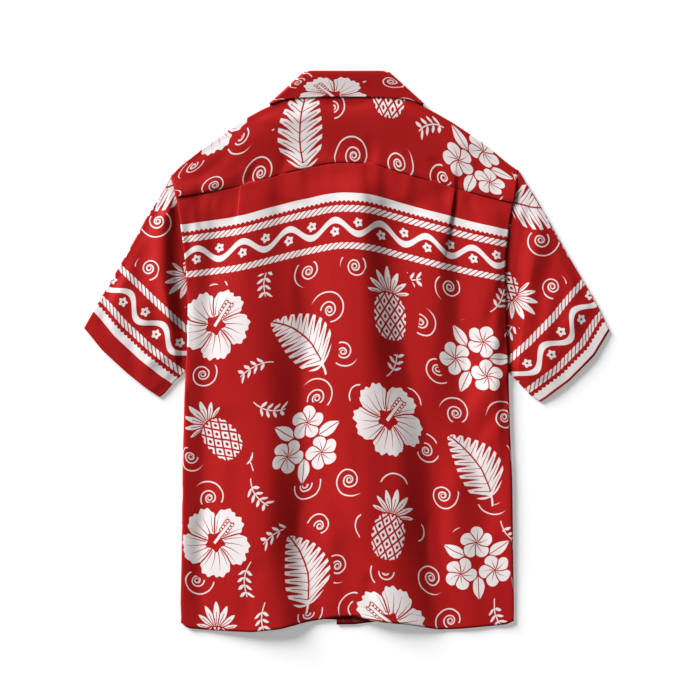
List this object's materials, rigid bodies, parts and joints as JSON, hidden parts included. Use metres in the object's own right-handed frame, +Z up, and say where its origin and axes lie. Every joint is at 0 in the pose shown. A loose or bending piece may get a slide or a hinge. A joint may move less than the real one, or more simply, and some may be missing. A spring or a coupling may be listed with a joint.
{
  "type": "hawaiian shirt",
  "caption": "Short-sleeved camp-collar shirt laid flat on its front, back up, with a yoke, back pleats and a buttoned front.",
  "frame": {"origin": "centre of the bounding box's bottom face, on the surface that the shirt lies on", "axes": "+Y from hem to collar, +X to the viewer's right as the back is looked at, +Z up"},
  "size_m": [0.6841, 0.7297, 0.0133],
  "materials": {
    "printed_cloth": "soft red rayon with a white print",
    "shell": "cream shell, satin"
  },
  "bodies": {
    "root": {"back": "printed_cloth", "yoke": "printed_cloth", "front_left": "printed_cloth", "front_right": "printed_cloth", "sleeve_left": "printed_cloth", "sleeve_right": "printed_cloth", "collar": "printed_cloth", "button_1": "shell", "button_2": "shell", "button_3": "shell", "button_4": "shell", "button_5": "shell"}
  },
  "joints": []
}
